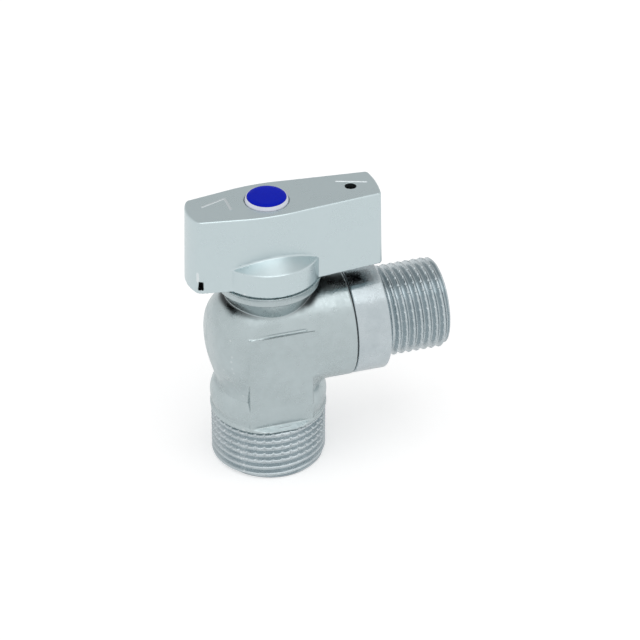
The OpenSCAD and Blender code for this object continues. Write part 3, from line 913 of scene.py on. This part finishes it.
@dataclass
class Forging:
    """The forged body: barrel, boss, neck, collar and the two flat pads, with all its bores."""

    axis_height: float = 32.4 * MM
    barrel_r: float = 12.9 * MM
    closed_end: float = 14.05 * MM
    power: float = 2.86
    joint_x: float = 17.42 * MM
    edge: float = 0.3 * MM
    neck_r: float = 12.0 * MM
    collar_r: float = 13.4 * MM
    collar_z0: float = 13.0 * MM
    collar_z1: float = 16.6 * MM
    shoulder: float = 3.6 * MM
    shoulder_power: float = 0.8
    rim_z: float = 13.6 * MM
    cove_depth: float = 0.35 * MM
    widest: float = 13.2 * MM
    pad_half: float = 7.5 * MM
    pad_y: float = 11.2 * MM
    pad_top: float = 5.9 * MM
    pad_slope: float = 0.55
    ledge_z: float = 14.0 * MM
    ledge_fall: float = 0.45
    crease_y: float = 11.2 * MM
    crease_up: float = 6.45 * MM
    crease_r: float = 0.33 * MM
    crease_half: float = 5.6 * MM
    boss_r: float = 11.8 * MM
    boss_root_r: float = 8.7 * MM
    boss_cone: float = 9.2 * MM
    boss_flange: float = 14.5 * MM
    boss_top: float = 16.72 * MM
    chamber: Colour = (9.85 * MM, -4.75 * MM, 9.9 * MM)
    nose_bore: Colour = (10.7 * MM, 9.8 * MM, 18.5 * MM)
    seat_bore: Colour = (8.6 * MM, -9.75 * MM, -4.6 * MM)
    mouth_r: float = 9.0 * MM
    mouth_z: float = 14.0 * MM
    throat_run: float = 3.0 * MM
    throat_fall: float = 0.935
    stem_pocket: Colour = (5.8 * MM, 0.0, 12.3 * MM)
    stem_way: Colour = (4.0 * MM, 0.0, 18.0 * MM)
    lug_reach: tuple[float, float] = (8.2 * MM, 9.9 * MM)
    lug_rise: tuple[float, float] = (15.9 * MM, 19.0 * MM)
    lug_half_angle: float = 20.0
    cell: float = 0.315 * MM

    def barrel(self, x: Array, radial: Array) -> Array:
        """Distance to the barrel: a cylinder that ends in half a superellipse at the closed end."""
        nose = np.maximum(-x, 0) / self.closed_end
        level = (nose ** self.power + (radial / self.barrel_r) ** self.power) ** (1 / self.power)
        return rounded_common((level - 1) * self.barrel_r, x - self.joint_x, self.edge)

    def collar(self, rho: Array, z: Array) -> Array:
        """Distance to the collar: a rim, a shallow cove and a rounded shoulder up to the neck."""
        rise = np.clip((z - self.collar_z1) / self.shoulder, 0, 1)
        radius = self.neck_r + (self.collar_r - self.neck_r) * (1 - rise ** 2) ** self.shoulder_power
        cove = smooth_step(z, self.rim_z, self.rim_z + 0.5 * MM)
        cove = cove * (1 - smooth_step(z, self.rim_z + 0.6 * MM, self.collar_z1))
        radius = radius - self.cove_depth * cove
        round_part = rounded_common(rho - radius, self.collar_z0 - z, 0.2 * MM)
        return np.maximum(round_part, z - self.axis_height)

    def boss(self, rho: Array, up: Array) -> Array:
        """Distance to the boss: a cone that widens upwards into a round flange."""
        slope = (self.boss_r - 0.5 * MM - self.boss_root_r) / (self.boss_flange - self.boss_cone)
        cone_r = self.boss_root_r + slope * np.maximum(up - self.boss_cone, 0)
        cone = np.maximum((rho - cone_r) / math.hypot(1, slope), slab(up, 0, self.boss_top))
        disc = slab(up, self.boss_flange - 0.2 * MM, self.boss_top)
        flange = rounded_common(rho - self.boss_r, disc, 0.3 * MM)
        return rounded_union(cone, flange, 0.3 * MM)

    def pads(self, body: Array, x: Array, y: Array, up: Array, z: Array) -> Array:
        """Adds the upright block and shaves the body down to the pads' faces with sloping sides."""
        wide, deep = np.abs(x), np.abs(y)
        block = rounded_common(wide - self.pad_half, deep - self.pad_y, 0.35 * MM)
        block = np.maximum(block, np.maximum(self.collar_z0 + 0.3 * MM - z, up - self.pad_top))
        body = rounded_union(body, block, 0.35 * MM)
        past = np.maximum(wide - self.pad_half, 0)
        steep = np.where(past > 0, math.hypot(1, self.pad_slope), 1)
        face = (deep - self.pad_y - self.pad_slope * past) / steep
        under = (self.ledge_z - self.ledge_fall * (deep - self.pad_y) - z) / math.hypot(1, self.ledge_fall)
        kept = np.minimum(face, -np.maximum(up - self.pad_top, under))
        body = rounded_common(body, kept, 0.22 * MM)
        crease = np.hypot(deep - self.crease_y, up - self.crease_up)
        crease = np.hypot(crease, np.maximum(wide - self.crease_half, 0)) - self.crease_r
        body = rounded_common(body, -crease, 0.12 * MM)
        return np.maximum(body, deep - self.widest)

    def bores(self, x: Array, radial: Array, rho: Array, z: Array, up: Array) -> Array:
        """Distance to the hollow inside: ball chamber, outlet way and stem way."""
        hollow = rod(radial, x, *self.chamber)
        for bore in (self.nose_bore, self.seat_bore):
            hollow = np.minimum(hollow, rod(radial, x, *bore))
        mouth = np.maximum(rho - self.mouth_r, slab(z, 8 * MM, self.mouth_z))
        cone_r = self.mouth_r - np.clip(z - self.mouth_z, 0, self.throat_run) * self.throat_fall
        throat = np.maximum(rho - cone_r, slab(z, self.mouth_z - 0.1 * MM, self.axis_height))
        hollow = np.minimum(hollow, np.minimum(mouth, throat))
        for bore in (self.stem_pocket, self.stem_way):
            hollow = np.minimum(hollow, rod(rho, up, *bore))
        return hollow

    def lug(self, x: Array, y: Array, rho: Array, up: Array) -> Array:
        """Distance to the stop lug on the boss's top."""
        ring = np.maximum(slab(rho, *self.lug_reach), slab(up, *self.lug_rise))
        spread = math.tan(math.radians(self.lug_half_angle))
        side = (np.abs(x) - spread * y) / math.hypot(1, spread)
        return rounded_common(ring, side, 0.2 * MM)

    def solid(self, x: Array, y: Array, z: Array) -> Array:
        """Distance to the whole forging, joined with fillets and hollowed out.

        Args:
            x: Distances along the inlet's axis.
            y: Distances across.
            z: Heights.

        Returns:
            The field's values.
        """
        up = z - self.axis_height
        rho, radial = np.hypot(x, y), np.hypot(y, up)
        foot = rounded_union(self.barrel(x, radial), self.collar(rho, z), 1.8 * MM)
        body = rounded_union(foot, self.boss(rho, up), 0.5 * MM)
        body = self.pads(body, x, y, up, z)
        body = np.maximum(body, -self.bores(x, radial, rho, z, up))
        return np.minimum(body, self.lug(x, y, rho, up))

    def build(self, finishes: FinishSet) -> None:
        """Meshes the forging and dresses it."""
        cell = self.cell * 1
        pad_line = self.axis_height + self.pad_top
        planes = (axis_points(-self.closed_end - 2 * cell, self.joint_x + 2 * cell, cell),
                  axis_points(-self.collar_r - 2 * cell, self.collar_r + 2 * cell, cell),
                  axis_points(self.collar_z0 - 2 * cell, self.axis_height + 19.5 * MM, cell,
                              (pad_line - 1 * MM, pad_line + 1 * MM, 0.7 * cell)))
        piece = FieldMesher().build("valve_forging", self.solid, planes)
        settle_in(piece, BodyName.VALVE, "nickel_forging", finishes["forged_nickel"], "body")


@dataclass
class InletConnector:
    """The screwed-in connector: nose, round collar, relief and threaded end, all turned in one piece."""

    thread: ThreadForm
    nicks: Nicks
    axis_height: float = 32.4 * MM
    collar_r: float = 12.8 * MM
    nose_r: float = 10.67 * MM
    nose_x: float = 9.9 * MM
    collar_x0: float = 17.62 * MM
    collar_x1: float = 26.35 * MM
    bevel: float = 1.0 * MM
    relief_r: float = 9.38 * MM
    thread_x0: float = 27.25 * MM
    end_x: float = 40.5 * MM
    start_drop: float = 1.1 * MM
    end_drop: float = 1.0 * MM
    lead_before: float = 0.9 * MM
    lead_after: float = 0.5 * MM
    bore_r: float = 7.5 * MM
    bore_x0: float = 20.3 * MM
    port_r: float = 6.0 * MM
    columns: int = 448
    rows_per_pitch: int = 14

    def grid(self) -> Array:
        """Works the connector out as a closed profile carried round the inlet's axis.

        Formula: the collar's rounded outline, then the crest radius less the thread's drop and the
        nicks under a lead-in cone, then the end face and the two-step bore back to the nose.

        Returns:
            Grid of points.
        """
        angle = np.arange(self.columns) * TURN / self.columns
        outline = rounded_profile([
            (self.port_r + 0.3 * MM, self.nose_x), (self.nose_r - 0.6 * MM, self.nose_x),
            (self.nose_r, self.nose_x + 0.6 * MM), (self.nose_r, self.collar_x0),
            (self.collar_r - 0.3 * MM, self.collar_x0), (self.collar_r, self.collar_x0 + 0.3 * MM),
            (self.collar_r, self.collar_x1 - self.bevel), (self.thread.crest_r + 0.5 * MM, self.collar_x1),
            (self.relief_r + 0.2 * MM, self.collar_x1 + 0.1 * MM), (self.relief_r, self.collar_x1 + 0.4 * MM),
            (self.relief_r, self.thread_x0)], 0.25 * MM)
        count = round((self.end_x - self.thread_x0) / self.thread.pitch * self.rows_per_pitch)
        x = np.linspace(self.thread_x0, self.end_x, count)[1:, None]
        phase = x / self.thread.pitch - angle / TURN
        drop = self.thread.drop(phase)
        cut = np.maximum(self.nicks.cut(x, angle, self.thread.crest_r) - drop, 0)
        start, end = (smooth_step(x, place - self.lead_before, place + self.lead_after)
                      for place in (self.thread_x0, self.end_x))
        limit = self.thread.crest_r - self.start_drop * (1 - start)
        lead = self.thread.crest_r - self.end_drop * end
        screw = np.minimum(np.minimum(self.thread.crest_r - drop - cut, limit), lead)
        bore = rounded_profile([
            (self.thread.crest_r - self.start_drop, self.end_x), (self.bore_r + 0.3 * MM, self.end_x),
            (self.bore_r, self.end_x - 0.3 * MM), (self.bore_r, self.bore_x0),
            (self.port_r, self.bore_x0 - 3 * MM), (self.port_r, self.nose_x + 0.3 * MM)], 0.2 * MM)[1:]
        flat = 0 * angle
        radius = np.concatenate([outline[:, :1] + flat, screw, bore[:, :1] + flat])
        along = np.concatenate([outline[:, 1:], x, bore[:, 1:]])
        return turned_points(along, radius, angle[None, :] + 0 * radius, Axis.INLET, self.axis_height)

    def build(self, finishes: FinishSet) -> None:
        """Makes the connector and dresses it."""
        piece = closed_grid("connector_turned", self.grid())
        settle_in(piece, BodyName.VALVE, "nickel_machined", finishes["machined_nickel"], "inlet_connector")


@dataclass
class BarHandle:
    """The cast handle: a hollow bar with bowed ends over a round hub."""

    base_z: float = 49.25 * MM
    height: float = 18.3 * MM
    front: float = 25.5 * MM
    back: float = 18.35 * MM
    half_width: float = 7.2 * MM
    half_end: float = 5.0 * MM
    draft: float = 0.4 * MM
    top_edge: float = 0.55 * MM
    wall: float = 1.9 * MM
    bow_x: float = 6.0 * MM
    middle_bow: float = 45.0 * MM
    front_bow: float = 22.0 * MM
    back_bow: float = 10.2 * MM
    hub_r: float = 12.0 * MM
    skirt: float = 5.65 * MM
    ledge_slope: float = 0.45
    seal_x: float = 19.4 * MM
    seal_r: float = 1.25 * MM
    seal_foot: float = 9.0 * MM
    rib_back_x: float = -12.66 * MM
    rib_front_x: float = 14.0 * MM
    rib_half: float = 0.7 * MM
    rib_foot: float = 3.2 * MM
    column_r: float = 6.0 * MM
    hub_inner_r: float = 10.2 * MM
    hub_ceiling: float = 4.2 * MM
    web_half: float = 1.3 * MM
    web_y: float = -2.4 * MM
    web_top: float = 3.8 * MM
    socket_half: float = 2.85 * MM
    socket_top: float = 7.6 * MM
    screw_way_r: float = 2.1 * MM
    well_r: float = 4.0 * MM
    well_foot: float = 9.8 * MM
    cap_seat_r: float = 4.95 * MM
    cap_seat_depth: float = 0.95 * MM
    slot_x: float = -16.7 * MM
    slot_y: float = -3.2 * MM
    slot_up: float = 1.95 * MM
    slot_tall: float = 1.05 * MM
    slot_half: float = 0.42 * MM
    slot_taper: float = 0.11
    cell: float = 0.31 * MM

    def plan(self, x: Array, y: Array, grow: Array | float) -> tuple[Array, Array]:
        """Distances to the bar's sides and to its bowed ends.

        Formula: the half width follows an arc of the middle bow up to bow_x and a straight taper
        beyond it, and each end is an arc about a point on the bar's middle line.

        Args:
            x: Distances along the bar.
            y: Distances across it.
            grow: How much larger the outline is all round.

        Returns:
            Distance past the sides and distance past the ends.
        """
        middle = self.half_width - self.middle_bow
        arc = middle + np.sqrt(self.middle_bow ** 2 - np.minimum(np.abs(x), self.bow_x) ** 2)
        bow_end = middle + math.sqrt(self.middle_bow ** 2 - self.bow_x ** 2)
        front_x = self.front - self.front_bow + math.sqrt(self.front_bow ** 2 - self.half_end ** 2)
        back_x = self.back - self.back_bow + math.sqrt(self.back_bow ** 2 - self.half_end ** 2)
        front_taper = (bow_end - self.half_end) / (front_x - self.bow_x)
        back_taper = (bow_end - self.half_end) / (back_x - self.bow_x)
        half = arc - np.maximum(x - self.bow_x, 0) * front_taper - np.maximum(-x - self.bow_x, 0) * back_taper
        taper = np.where(x > 0, front_taper, back_taper)
        sides = (np.abs(y) - half - grow) / np.hypot(1, taper)
        front_mid, back_mid = self.front - self.front_bow, self.back_bow - self.back
        front_end = np.hypot(np.maximum(x - front_mid, 0), y) - self.front_bow - grow
        back_end = np.hypot(np.minimum(x - back_mid, 0), y) - self.back_bow - grow
        return sides, np.maximum(front_end, back_end)

    def bar(self, x: Array, y: Array, up: Array) -> Array:
        """Distance to the solid bar, with drafted sides and a rounded top edge."""
        grow = self.draft * (1 - up / self.height)
        sides, ends = self.plan(x, y, grow)
        upright = rounded_common(sides, ends, 0.7 * MM)
        topped = rounded_common(upright, up - self.height, self.top_edge)
        return rounded_common(topped, -up, 0.2 * MM)

    def hub(self, rho: Array, up: Array) -> Array:
        """Distance to the hub: an upright skirt under a ledge that rises inwards."""
        ledge = (up - self.skirt - self.ledge_slope * (self.hub_r - rho)) / math.hypot(1, self.ledge_slope)
        lower = rounded_common(rho - self.hub_r, -up, 0.25 * MM)
        return rounded_common(lower, ledge, 0.22 * MM)

    def inside(self, x: Array, y: Array, rho: Array, up: Array) -> Array:
        """Distance to the space inside the bar and under the hub."""
        sides, ends = self.plan(x, y, self.draft * (1 - up / self.height) - self.wall)
        hollow = rounded_common(np.maximum(sides, ends), up - (self.height - self.wall), 1.0 * MM)
        ribs = np.minimum(np.abs(x - self.rib_back_x), np.abs(x - self.rib_front_x)) - self.rib_half
        ribs = np.maximum(ribs, self.rib_foot - up)
        column = rho - self.column_r
        web = np.maximum(np.abs(x - self.slot_x) - self.web_half,
                         np.maximum(y - self.web_y, up - self.web_top))
        hollow = np.maximum(hollow, -np.minimum(np.minimum(ribs, column), web))
        ring = np.maximum(np.maximum(rho - self.hub_inner_r, up - self.hub_ceiling), -column)
        return np.minimum(hollow, ring)

    def openings(self, x: Array, y: Array, rho: Array, up: Array) -> Array:
        """Distance to the stem's square socket, the screw's way, the seal hole and the small front slot."""
        past_top = 20 * MM
        socket = np.maximum(np.maximum(np.abs(x), np.abs(y)) - self.socket_half, up - self.socket_top)
        way = rod(rho, up, self.screw_way_r, 0, past_top)
        well = rod(rho, up, self.well_r, self.well_foot, past_top)
        seat = rod(rho, up, self.cap_seat_r, self.height - self.cap_seat_depth, past_top)
        seal = rod(np.hypot(x - self.seal_x, y), up, self.seal_r, self.seal_foot, past_top)
        tall = up - self.slot_up
        width = np.maximum(self.slot_half - self.slot_taper * tall, 0.1 * MM)
        drop = np.maximum(np.abs(x - self.slot_x) - width, slab(tall, -self.slot_tall, self.slot_tall))
        slot = np.maximum(drop, y - self.slot_y)
        return np.minimum.reduce([np.broadcast_to(part, np.broadcast_shapes(x.shape, y.shape, up.shape))
                                  for part in (socket, way, well, seat, seal, slot)])

    def solid(self, x: Array, y: Array, z: Array) -> Array:
        """Distance to the whole handle.

        Args:
            x: Distances along the bar.
            y: Distances across it.
            z: Heights.

        Returns:
            The field's values.
        """
        up = z - self.base_z
        rho = np.hypot(x, y)
        body = rounded_union(self.bar(x, y, up), self.hub(rho, up), 0.25 * MM)
        hollow = np.minimum(self.inside(x, y, rho, up), self.openings(x, y, rho, up))
        return rounded_common(body, -hollow, 0.15 * MM)

    def build(self, finishes: FinishSet) -> None:
        """Meshes the handle and dresses it."""
        cell = self.cell * 1
        planes = (axis_points(-self.back - 1 * MM, self.front + 1 * MM, cell),
                  axis_points(-self.hub_r - 2 * cell, self.hub_r + 2 * cell, cell),
                  axis_points(self.base_z - 2 * cell, self.base_z + self.height + 2 * cell, cell))
        piece = FieldMesher().build("bar_handle", self.solid, planes)
        settle_in(piece, BodyName.HANDLE, "satin_chrome", finishes["satin_chrome"], "handle")


@dataclass
class IndexButton:
    """The pale cap in the handle's top with its glossy blue disc."""

    top_z: float = 67.55 * MM
    disc_r: float = 4.4 * MM
    cap_r: float = 4.85 * MM

    def build(self, finishes: FinishSet) -> None:
        """Turns the disc and the cap's rim from rounded profiles and dresses them."""
        disc = rounded_profile([
            (0.3 * MM, 1.15 * MM), (0.8 * self.disc_r, 1.12 * MM), (self.disc_r, 0.95 * MM),
            (self.disc_r, 0.12 * MM), (0.3 * MM, 0.12 * MM)], 0.3 * MM, 5)
        self.turn("blue_disc", disc, "index_blue", "index_disc", finishes)
        rim = rounded_profile([
            (0.3 * MM, 0.1 * MM), (self.disc_r - 0.02 * MM, 0.1 * MM), (self.disc_r + 0.02 * MM, 0.78 * MM),
            (self.disc_r + 0.16 * MM, 0.78 * MM), (self.cap_r, 0.1 * MM), (self.cap_r, -0.95 * MM),
            (3.95 * MM, -0.95 * MM), (3.95 * MM, -3.7 * MM), (2.85 * MM, -3.7 * MM), (2.85 * MM, -1.6 * MM),
            (0.3 * MM, -1.6 * MM)], 0.12 * MM, 4)
        self.turn("cap_ring", rim, "pale_nylon", "index_cap", finishes)

    def turn(self, name: str, profile: Array, finish: str, node: str, finishes: FinishSet) -> None:
        """Makes one turned piece with its poles closed.

        Args:
            name: Name of the piece.
            profile: Rows of radius and height above the handle's top.
            finish: Name of the finish.
            node: CAD node that the piece stands for.
            finishes: The finishes.
        """
        heights = self.top_z + profile[:, 1]
        ends = np.concatenate([heights[:1], heights, heights[-1:]])
        piece = disc_of_rings(name, profile[:, 0], ends)
        slots = {"index_blue": "index_blue", "pale_nylon": "pale_cap"}
        settle_in(piece, BodyName.HANDLE, slots[finish], finishes[finish], node)


@dataclass
class TravelMarks:
    """The plain lines on the handle's top: a straight one and an open corner."""

    top_z: float = 67.55 * MM
    half_width: float = 0.3 * MM
    proud: float = 0.1 * MM
    sunk: float = 0.25 * MM

    def build(self, finishes: FinishSet) -> None:
        """Makes the two marks as flat beads with flat ends."""
        lines = {
            "straight_mark": [(16.8, 2.8), (23.4, 0.5)],
            "corner_mark": [(-14.7, 1.06), (-8.75, 3.1), (-8.6, -1.9)],
        }
        for name, corners in lines.items():
            path = np.array(corners) * MM
            piece = self.bead(name, path)
            # The marks take the lighter copy of the satin chrome, whose lightness is painted highlight.
            settle_in(piece, BodyName.HANDLE, "satin_chrome", finishes["raised_mark_painted_highlight"])

    def bead(self, name: str, path: Array) -> bpy.types.Object:
        """Carries a flat section along a path of straight runs with mitred corners.

        Formula: the section's half width is carried square to the path, and at a corner along the
        mean of the two sides' directions, lengthened by one over the cosine of half the turn.

        Args:
            name: Name of the piece.
            path: Rows of x and y.

        Returns:
            The closed bead.
        """
        runs = np.diff(path, axis=0)
        runs = runs / np.linalg.norm(runs, axis=1, keepdims=True)
        square = np.stack([-runs[:, 1], runs[:, 0]], axis=1)
        before = np.concatenate([square[:1], square])
        after = np.concatenate([square, square[-1:]])
        mean = before + after
        mean = mean / np.linalg.norm(mean, axis=1, keepdims=True)
        mitre = mean / (mean * before).sum(axis=1, keepdims=True)
        section = [(-1.0, -self.sunk), (-1.0, 0.0), (-0.4, self.proud), (0.4, self.proud), (1.0, 0.0),
                   (1.0, -self.sunk)]
        rings = np.stack([np.column_stack([path + mitre * side * self.half_width,
                                           np.full(len(path), self.top_z + lift)])
                          for side, lift in section], axis=1)
        rows, sides = rings.shape[:2]
        index = np.arange(rows * sides).reshape(rows, sides)
        beside = np.roll(index, -1, axis=1)
        walls = np.stack([index[:-1], beside[:-1], beside[1:], index[1:]], axis=-1).reshape(-1, 4)
        faces = walls.tolist() + [index[0, ::-1].tolist(), index[-1].tolist()]
        mesh = bpy.data.meshes.new(name)
        mesh.from_pydata(rings.reshape(-1, 3).tolist(), [], faces)
        mesh.update()
        piece = bpy.data.objects.new(name, mesh)
        bpy.context.scene.collection.objects.link(piece)
        return piece


class InnerParts:
    """The CAD nodes whose shape is kept and that only get their finish."""

    finish_of = {
        "connector_gasket": "joint_gasket",
        "ball": "polished_chrome",
        "inlet_seat": "ptfe",
        "inlet_seat_ring": "ring_rubber",
        "rear_seat": "ptfe",
        "rear_seat_ring": "ring_rubber",
        "stem": "bare_brass",
        "stem_thrust_washer": "ptfe",
        "lower_stem_ring": "ring_rubber",
        "upper_stem_ring": "ring_rubber",
        "handle_screw": "zinc_plate",
        "spring_washer": "spring_steel",
    }

    def dress(self, finishes: FinishSet) -> None:
        """Gives each kept node its material."""
        for node, finish in self.finish_of.items():
            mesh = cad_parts[node].data
            mesh.materials.clear()
            mesh.materials.append(finishes[finish])
            LOG.info("%s: kept, finished in %s", node, finish)


# The studio


@dataclass
class Studio:
    """A white floor, an overcast world and a soft lamp."""

    floor_size: float = 6.0
    dim_side: Colour = (0.25, 0.78, 0.57)

    def build(self) -> None:
        """Makes the floor, the world and the lamp."""
        self.floor()
        self.world()
        centre = Vector((0.008, 0, 0.035))
        self.lamp("top_lamp", centre, (0.03, -0.17, 0.68), 0.46, 0.6)

    def floor(self) -> None:
        """A wide pale floor that shows white to the camera and to reflections and keeps a faint shadow."""
        half = self.floor_size / 2
        points = np.array([(-half, -half, 0), (half, -half, 0), (half, half, 0), (-half, half, 0)])
        plane = new_object("studio_floor", points - np.array([0, 0, 0.00002]), np.array([[0, 1, 2, 3]]))
        made = bpy.data.materials.new("floor_paint")
        made.use_nodes = True
        made.node_tree.nodes.clear()
        sheet = NodeSheet(made.node_tree)
        path = sheet.add("ShaderNodeLightPath")
        glow_level = sheet.math("MULTIPLY_ADD", path.outputs["Is Camera Ray"], 0.42,
                                sheet.math("MULTIPLY", path.outputs["Is Glossy Ray"], 0.31))
        paint = sheet.add("ShaderNodeBsdfDiffuse", {"Color": (0.8, 0.8, 0.8, 1)})
        glow = sheet.add("ShaderNodeEmission", {"Color": (1, 1, 1, 1), "Strength": glow_level})
        both = sheet.add("ShaderNodeAddShader", {0: paint.outputs[0], 1: glow.outputs[0]})
        sheet.add("ShaderNodeOutputMaterial", {"Surface": both.outputs[0]})
        plane.data.materials.append(made)

    def world(self) -> None:
        """A sky that is white at the horizon and greyer overhead."""
        world = bpy.data.worlds.new("overcast")
        bpy.context.scene.world = world
        world.use_nodes = True
        world.node_tree.nodes.clear()
        sheet = NodeSheet(world.node_tree)
        direction = sheet.add("ShaderNodeTexCoord").outputs["Generated"]
        height = sheet.add("ShaderNodeVectorMath", {0: direction, 1: self.dim_side},
                           operation="DOT_PRODUCT").outputs["Value"]
        shade = sheet.ramp(height, 0.1, 1.0, 1.0, 0.66)
        path = sheet.add("ShaderNodeLightPath")
        seen = sheet.math("MAXIMUM", path.outputs["Is Camera Ray"], path.outputs["Is Glossy Ray"])
        seen = sheet.math("MAXIMUM", seen, path.outputs["Is Transmission Ray"])
        level = sheet.math("MULTIPLY_ADD", seen, 0.15, 0.85)
        strength = sheet.math("MULTIPLY", shade, level)
        back = sheet.add("ShaderNodeBackground", {"Color": (1, 1, 1, 1), "Strength": strength})
        sheet.add("ShaderNodeOutputWorld", {"Surface": back.outputs[0]})

    @staticmethod
    def lamp(name: str, target: Vector, offset: Colour, size: float, power: float) -> None:
        """Adds a square soft lamp that looks at the target."""
        light = bpy.data.lights.new(name, "AREA")
        light.size = size
        light.energy = power
        lamp = bpy.data.objects.new(name, light)
        place = target + Vector(offset)
        turn = (target - place).to_track_quat("-Z", "Y").to_matrix()
        lamp.matrix_world = Matrix.Translation(place) @ turn.to_4x4()
        bpy.context.scene.collection.objects.link(lamp)


@dataclass
class PhotoCamera:
    """The camera at the photograph's angle, aimed from the crossing of the stem's and the inlet's axes."""

    azimuth: float = -17.78
    elevation: float = 34.67
    roll: float = 0.27
    distance: float = 0.635
    across: float = 11.86 * MM
    above: float = 2.49 * MM
    focal_pixels: float = 2800.0
    frame_pixels: float = 640.0
    sensor: float = 36.0
    axis_height: float = 32.4 * MM

    def build(self) -> None:
        """Makes the camera and sets it as the scene's own."""
        a, e = math.radians(self.azimuth), math.radians(self.elevation)
        back = Vector((math.sin(a) * math.cos(e), -math.cos(a) * math.cos(e), math.sin(e)))
        right = Vector((math.cos(a), math.sin(a), 0))
        up = back.cross(right)
        data = bpy.data.cameras.new("photo_camera")
        data.sensor_width = self.sensor
        data.lens = self.focal_pixels / self.frame_pixels * self.sensor
        data.clip_start, data.clip_end = 0.05, 20
        camera = bpy.data.objects.new("photo_camera", data)
        aim = Vector((0, 0, self.axis_height)) + right * self.across + up * self.above
        place = aim + back * self.distance
        turn = Matrix((right, up, back)).transposed() @ Matrix.Rotation(math.radians(self.roll), 3, "Z")
        camera.matrix_world = Matrix.Translation(place) @ turn.to_4x4()
        bpy.context.scene.collection.objects.link(camera)
        bpy.context.scene.camera = camera


def main() -> None:
    """Builds every piece in order, then the studio and the camera."""
    logging.basicConfig(level=logging.INFO, format="%(name)s %(message)s", stream=sys.stdout)
    bpy.context.scene.view_settings.view_transform = "Standard"
    finishes = FinishSet()
    Forging().build(finishes)
    outlet_nicks = Nicks(39, 0.42 * MM, 0.3 * MM, 3.0 * MM, 6.5 * MM)
    OutletSpigot(ThreadForm(13.22 * MM), outlet_nicks).build(finishes)
    inlet_nicks = Nicks(31, 0.25 * MM, 0.28 * MM, 27 * MM, 28 * MM)
    InletConnector(ThreadForm(10.48 * MM), inlet_nicks).build(finishes)
    BarHandle().build(finishes)
    IndexButton().build(finishes)
    TravelMarks().build(finishes)
    InnerParts().dress(finishes)
    Studio().build()
    PhotoCamera().build()


if __name__ == "__main__":
    main()
